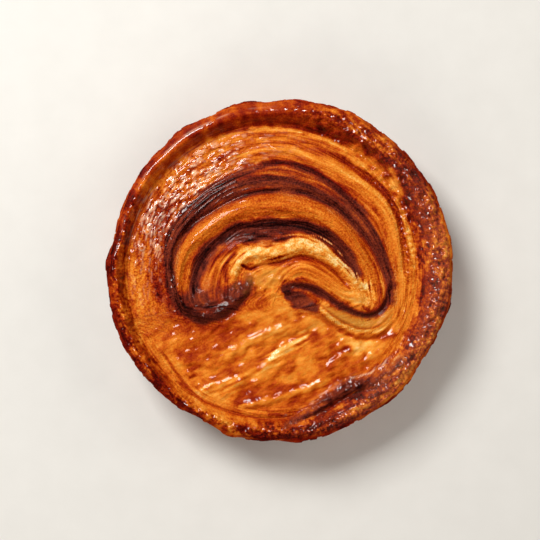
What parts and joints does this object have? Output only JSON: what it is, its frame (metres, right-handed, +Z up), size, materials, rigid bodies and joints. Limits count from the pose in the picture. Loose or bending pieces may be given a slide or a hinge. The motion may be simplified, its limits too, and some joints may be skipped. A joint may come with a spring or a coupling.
{
  "type": "breton butter cake",
  "caption": "Round caramelised butter cake of folded dough: a raised glossy rim round a golden sheet with a dark and cream swirl of folded leaves.",
  "frame": {"origin": "middle of the flat base, on the surface that the cake rests on", "axes": "+Z up through the cake; the swirl arches towards +Y and its two feet point towards -Y"},
  "size_m": [0.1809, 0.1786, 0.0371],
  "materials": {
    "crust": "baked dough under a thin caramel glaze, golden to near black along the folds"
  },
  "bodies": {
    "root": {"cake": "crust"}
  },
  "joints": []
}
